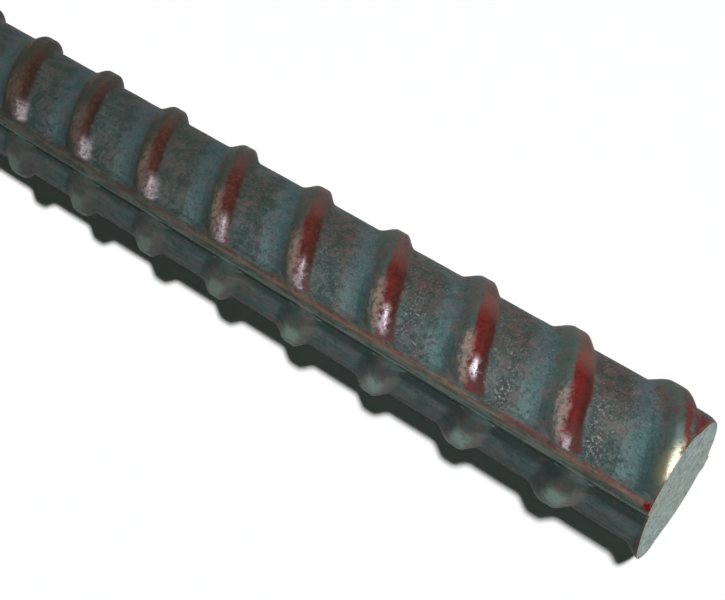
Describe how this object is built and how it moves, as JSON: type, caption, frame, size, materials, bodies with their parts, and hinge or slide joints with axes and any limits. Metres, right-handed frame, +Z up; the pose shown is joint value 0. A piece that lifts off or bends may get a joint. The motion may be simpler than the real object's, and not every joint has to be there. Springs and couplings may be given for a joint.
{
  "type": "steel reinforcing bar",
  "caption": "Deformed hot-rolled steel reinforcing bar: round core, long ribs on opposite sides and leaning transverse ribs between them, cut square at both ends.",
  "frame": {"origin": "centre of the bar's length and width, on the level floor it lies on", "axes": "+X along the bar, +Z up; the long ribs stand close to +Z and -Z, as the bar comes to rest"},
  "size_m": [0.6096, 0.0138, 0.0132],
  "materials": {
    "scaled_steel": "satin"
  },
  "bodies": {
    "root": {"reinforcing_bar": "scaled_steel"}
  },
  "joints": []
}
